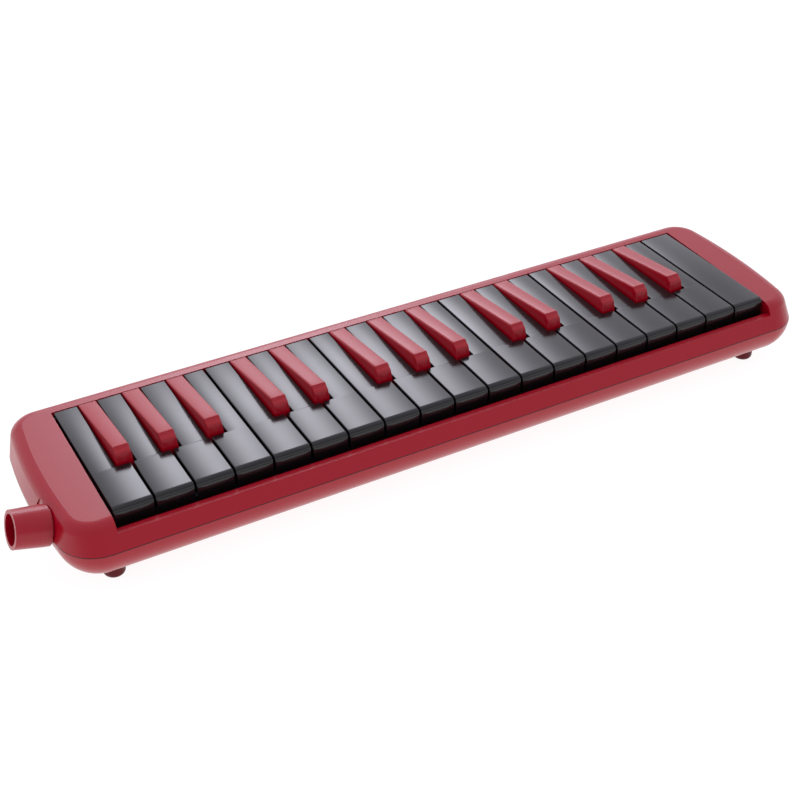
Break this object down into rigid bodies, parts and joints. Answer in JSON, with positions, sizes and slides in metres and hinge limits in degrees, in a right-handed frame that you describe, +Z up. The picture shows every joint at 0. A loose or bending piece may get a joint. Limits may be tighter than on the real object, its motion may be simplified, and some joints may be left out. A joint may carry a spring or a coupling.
{
  "type": "melodica",
  "caption": "Blown keyboard instrument: hinged piano-style keys over a reed block in a boat-shaped two-part shell, with a tilted air inlet at the bass end and a drain button below.",
  "frame": {"origin": "centre of the overall box in plan, on the plane that the feet stand on", "axes": "+X along the keyboard towards the high notes, +Y from the player towards the rear rail, +Z up"},
  "size_m": [0.45, 0.11, 0.0469],
  "materials": {
    "red_shell": "glossy injection-moulded red plastic",
    "red_key": "glossy moulded red plastic",
    "black_key": "polished black plastic",
    "red_button": "glossy red plastic",
    "foot_rubber": "dark red rubber",
    "seal_rubber": "soft black rubber",
    "inner_plastic": "matt black moulding",
    "steel": "zinc-plated steel",
    "reed_brass": "milled brass",
    "spring_bronze": "phosphor bronze strip",
    "rail_aluminium": "plain strip",
    "felt": "pressed wool felt"
  },
  "bodies": {
    "housing": {"upper_housing": "red_shell", "lower_housing": "red_shell", "inlet_spigot": "red_shell", "inlet_seal": "seal_rubber", "inlet_plenum": "inner_plastic", "pivot_rod": "steel", "reed_block": "inner_plastic", "bass_reed_plate": "reed_brass", "treble_reed_plate": "reed_brass", "bass_reed_tongues": "reed_brass", "treble_reed_tongues": "reed_brass", "reed_rivets": "reed_brass", "reed_plate_gasket": "seal_rubber", "chamber_gasket": "seal_rubber", "wind_chamber": "inner_plastic", "key_return_springs": "spring_bronze", "spring_rail": "rail_aluminium", "key_felt": "felt", "housing_screws": "steel", "keybed_screws": "steel", "reed_plate_screws": "steel", "wind_chamber_screws": "steel", "feet": "foot_rubber", "drain_spring": "steel"},
    "key_f3": {"natural_key_f3": "black_key"},
    "key_fs3": {"sharp_key_fs3": "red_key"},
    "key_g3": {"natural_key_g3": "black_key"},
    "key_gs3": {"sharp_key_gs3": "red_key"},
    "key_a3": {"natural_key_a3": "black_key"},
    "key_as3": {"sharp_key_as3": "red_key"},
    "key_b3": {"natural_key_b3": "black_key"},
    "key_c4": {"natural_key_c4": "black_key"},
    "key_cs4": {"sharp_key_cs4": "red_key"},
    "key_d4": {"natural_key_d4": "black_key"},
    "key_ds4": {"sharp_key_ds4": "red_key"},
    "key_e4": {"natural_key_e4": "black_key"},
    "key_f4": {"natural_key_f4": "black_key"},
    "key_fs4": {"sharp_key_fs4": "red_key"},
    "key_g4": {"natural_key_g4": "black_key"},
    "key_gs4": {"sharp_key_gs4": "red_key"},
    "key_a4": {"natural_key_a4": "black_key"},
    "key_as4": {"sharp_key_as4": "red_key"},
    "key_b4": {"natural_key_b4": "black_key"},
    "key_c5": {"natural_key_c5": "black_key"},
    "key_cs5": {"sharp_key_cs5": "red_key"},
    "key_d5": {"natural_key_d5": "black_key"},
    "key_ds5": {"sharp_key_ds5": "red_key"},
    "key_e5": {"natural_key_e5": "black_key"},
    "key_f5": {"natural_key_f5": "black_key"},
    "key_fs5": {"sharp_key_fs5": "red_key"},
    "key_g5": {"natural_key_g5": "black_key"},
    "key_gs5": {"sharp_key_gs5": "red_key"},
    "key_a5": {"natural_key_a5": "black_key"},
    "key_as5": {"sharp_key_as5": "red_key"},
    "key_b5": {"natural_key_b5": "black_key"},
    "key_c6": {"natural_key_c6": "black_key"},
    "drain_button": {"drain_button": "red_button", "drain_seal": "seal_rubber"}
  },
  "joints": [
    {"name": "press_f3", "type": "hinge", "parent": "housing", "child": "key_f3", "pos_m": [0, 0.0475, 0.033], "axis": [1, 0, 0], "range_deg": [0, 2.5], "stiffness_Nm_per_rad": 0.8, "springref_deg": -4.01, "deforming": ["key_return_springs"]},
    {"name": "press_fs3", "type": "hinge", "parent": "housing", "child": "key_fs3", "pos_m": [0, 0.0475, 0.033], "axis": [1, 0, 0], "range_deg": [0, 2.5], "stiffness_Nm_per_rad": 0.8, "springref_deg": -4.01, "deforming": ["key_return_springs"]},
    {"name": "press_g3", "type": "hinge", "parent": "housing", "child": "key_g3", "pos_m": [0, 0.0475, 0.033], "axis": [1, 0, 0], "range_deg": [0, 2.5], "stiffness_Nm_per_rad": 0.8, "springref_deg": -4.01, "deforming": ["key_return_springs"]},
    {"name": "press_gs3", "type": "hinge", "parent": "housing", "child": "key_gs3", "pos_m": [0, 0.0475, 0.033], "axis": [1, 0, 0], "range_deg": [0, 2.5], "stiffness_Nm_per_rad": 0.8, "springref_deg": -4.01, "deforming": ["key_return_springs"]},
    {"name": "press_a3", "type": "hinge", "parent": "housing", "child": "key_a3", "pos_m": [0, 0.0475, 0.033], "axis": [1, 0, 0], "range_deg": [0, 2.5], "stiffness_Nm_per_rad": 0.8, "springref_deg": -4.01, "deforming": ["key_return_springs"]},
    {"name": "press_as3", "type": "hinge", "parent": "housing", "child": "key_as3", "pos_m": [0, 0.0475, 0.033], "axis": [1, 0, 0], "range_deg": [0, 2.5], "stiffness_Nm_per_rad": 0.8, "springref_deg": -4.01, "deforming": ["key_return_springs"]},
    {"name": "press_b3", "type": "hinge", "parent": "housing", "child": "key_b3", "pos_m": [0, 0.0475, 0.033], "axis": [1, 0, 0], "range_deg": [0, 2.5], "stiffness_Nm_per_rad": 0.8, "springref_deg": -4.01, "deforming": ["key_return_springs"]},
    {"name": "press_c4", "type": "hinge", "parent": "housing", "child": "key_c4", "pos_m": [0, 0.0475, 0.033], "axis": [1, 0, 0], "range_deg": [0, 2.5], "stiffness_Nm_per_rad": 0.8, "springref_deg": -4.01, "deforming": ["key_return_springs"]},
    {"name": "press_cs4", "type": "hinge", "parent": "housing", "child": "key_cs4", "pos_m": [0, 0.0475, 0.033], "axis": [1, 0, 0], "range_deg": [0, 2.5], "stiffness_Nm_per_rad": 0.8, "springref_deg": -4.01, "deforming": ["key_return_springs"]},
    {"name": "press_d4", "type": "hinge", "parent": "housing", "child": "key_d4", "pos_m": [0, 0.0475, 0.033], "axis": [1, 0, 0], "range_deg": [0, 2.5], "stiffness_Nm_per_rad": 0.8, "springref_deg": -4.01, "deforming": ["key_return_springs"]},
    {"name": "press_ds4", "type": "hinge", "parent": "housing", "child": "key_ds4", "pos_m": [0, 0.0475, 0.033], "axis": [1, 0, 0], "range_deg": [0, 2.5], "stiffness_Nm_per_rad": 0.8, "springref_deg": -4.01, "deforming": ["key_return_springs"]},
    {"name": "press_e4", "type": "hinge", "parent": "housing", "child": "key_e4", "pos_m": [0, 0.0475, 0.033], "axis": [1, 0, 0], "range_deg": [0, 2.5], "stiffness_Nm_per_rad": 0.8, "springref_deg": -4.01, "deforming": ["key_return_springs"]},
    {"name": "press_f4", "type": "hinge", "parent": "housing", "child": "key_f4", "pos_m": [0, 0.0475, 0.033], "axis": [1, 0, 0], "range_deg": [0, 2.5], "stiffness_Nm_per_rad": 0.8, "springref_deg": -4.01, "deforming": ["key_return_springs"]},
    {"name": "press_fs4", "type": "hinge", "parent": "housing", "child": "key_fs4", "pos_m": [0, 0.0475, 0.033], "axis": [1, 0, 0], "range_deg": [0, 2.5], "stiffness_Nm_per_rad": 0.8, "springref_deg": -4.01, "deforming": ["key_return_springs"]},
    {"name": "press_g4", "type": "hinge", "parent": "housing", "child": "key_g4", "pos_m": [0, 0.0475, 0.033], "axis": [1, 0, 0], "range_deg": [0, 2.5], "stiffness_Nm_per_rad": 0.8, "springref_deg": -4.01, "deforming": ["key_return_springs"]},
    {"name": "press_gs4", "type": "hinge", "parent": "housing", "child": "key_gs4", "pos_m": [0, 0.0475, 0.033], "axis": [1, 0, 0], "range_deg": [0, 2.5], "stiffness_Nm_per_rad": 0.8, "springref_deg": -4.01, "deforming": ["key_return_springs"]},
    {"name": "press_a4", "type": "hinge", "parent": "housing", "child": "key_a4", "pos_m": [0, 0.0475, 0.033], "axis": [1, 0, 0], "range_deg": [0, 2.5], "stiffness_Nm_per_rad": 0.8, "springref_deg": -4.01, "deforming": ["key_return_springs"]},
    {"name": "press_as4", "type": "hinge", "parent": "housing", "child": "key_as4", "pos_m": [0, 0.0475, 0.033], "axis": [1, 0, 0], "range_deg": [0, 2.5], "stiffness_Nm_per_rad": 0.8, "springref_deg": -4.01, "deforming": ["key_return_springs"]},
    {"name": "press_b4", "type": "hinge", "parent": "housing", "child": "key_b4", "pos_m": [0, 0.0475, 0.033], "axis": [1, 0, 0], "range_deg": [0, 2.5], "stiffness_Nm_per_rad": 0.8, "springref_deg": -4.01, "deforming": ["key_return_springs"]},
    {"name": "press_c5", "type": "hinge", "parent": "housing", "child": "key_c5", "pos_m": [0, 0.0475, 0.033], "axis": [1, 0, 0], "range_deg": [0, 2.5], "stiffness_Nm_per_rad": 0.8, "springref_deg": -4.01, "deforming": ["key_return_springs"]},
    {"name": "press_cs5", "type": "hinge", "parent": "housing", "child": "key_cs5", "pos_m": [0, 0.0475, 0.033], "axis": [1, 0, 0], "range_deg": [0, 2.5], "stiffness_Nm_per_rad": 0.8, "springref_deg": -4.01, "deforming": ["key_return_springs"]},
    {"name": "press_d5", "type": "hinge", "parent": "housing", "child": "key_d5", "pos_m": [0, 0.0475, 0.033], "axis": [1, 0, 0], "range_deg": [0, 2.5], "stiffness_Nm_per_rad": 0.8, "springref_deg": -4.01, "deforming": ["key_return_springs"]},
    {"name": "press_ds5", "type": "hinge", "parent": "housing", "child": "key_ds5", "pos_m": [0, 0.0475, 0.033], "axis": [1, 0, 0], "range_deg": [0, 2.5], "stiffness_Nm_per_rad": 0.8, "springref_deg": -4.01, "deforming": ["key_return_springs"]},
    {"name": "press_e5", "type": "hinge", "parent": "housing", "child": "key_e5", "pos_m": [0, 0.0475, 0.033], "axis": [1, 0, 0], "range_deg": [0, 2.5], "stiffness_Nm_per_rad": 0.8, "springref_deg": -4.01, "deforming": ["key_return_springs"]},
    {"name": "press_f5", "type": "hinge", "parent": "housing", "child": "key_f5", "pos_m": [0, 0.0475, 0.033], "axis": [1, 0, 0], "range_deg": [0, 2.5], "stiffness_Nm_per_rad": 0.8, "springref_deg": -4.01, "deforming": ["key_return_springs"]},
    {"name": "press_fs5", "type": "hinge", "parent": "housing", "child": "key_fs5", "pos_m": [0, 0.0475, 0.033], "axis": [1, 0, 0], "range_deg": [0, 2.5], "stiffness_Nm_per_rad": 0.8, "springref_deg": -4.01, "deforming": ["key_return_springs"]},
    {"name": "press_g5", "type": "hinge", "parent": "housing", "child": "key_g5", "pos_m": [0, 0.0475, 0.033], "axis": [1, 0, 0], "range_deg": [0, 2.5], "stiffness_Nm_per_rad": 0.8, "springref_deg": -4.01, "deforming": ["key_return_springs"]},
    {"name": "press_gs5", "type": "hinge", "parent": "housing", "child": "key_gs5", "pos_m": [0, 0.0475, 0.033], "axis": [1, 0, 0], "range_deg": [0, 2.5], "stiffness_Nm_per_rad": 0.8, "springref_deg": -4.01, "deforming": ["key_return_springs"]},
    {"name": "press_a5", "type": "hinge", "parent": "housing", "child": "key_a5", "pos_m": [0, 0.0475, 0.033], "axis": [1, 0, 0], "range_deg": [0, 2.5], "stiffness_Nm_per_rad": 0.8, "springref_deg": -4.01, "deforming": ["key_return_springs"]},
    {"name": "press_as5", "type": "hinge", "parent": "housing", "child": "key_as5", "pos_m": [0, 0.0475, 0.033], "axis": [1, 0, 0], "range_deg": [0, 2.5], "stiffness_Nm_per_rad": 0.8, "springref_deg": -4.01, "deforming": ["key_return_springs"]},
    {"name": "press_b5", "type": "hinge", "parent": "housing", "child": "key_b5", "pos_m": [0, 0.0475, 0.033], "axis": [1, 0, 0], "range_deg": [0, 2.5], "stiffness_Nm_per_rad": 0.8, "springref_deg": -4.01, "deforming": ["key_return_springs"]},
    {"name": "press_c6", "type": "hinge", "parent": "housing", "child": "key_c6", "pos_m": [0, 0.0475, 0.033], "axis": [1, 0, 0], "range_deg": [0, 2.5], "stiffness_Nm_per_rad": 0.8, "springref_deg": -4.01, "deforming": ["key_return_springs"]},
    {"name": "press_drain", "type": "slide", "parent": "housing", "child": "drain_button", "axis": [0, 0, 1], "range_m": [0, 0.0018], "stiffness_N_per_m": 300, "springref_m": -0.003, "deforming": ["drain_spring"]}
  ]
}
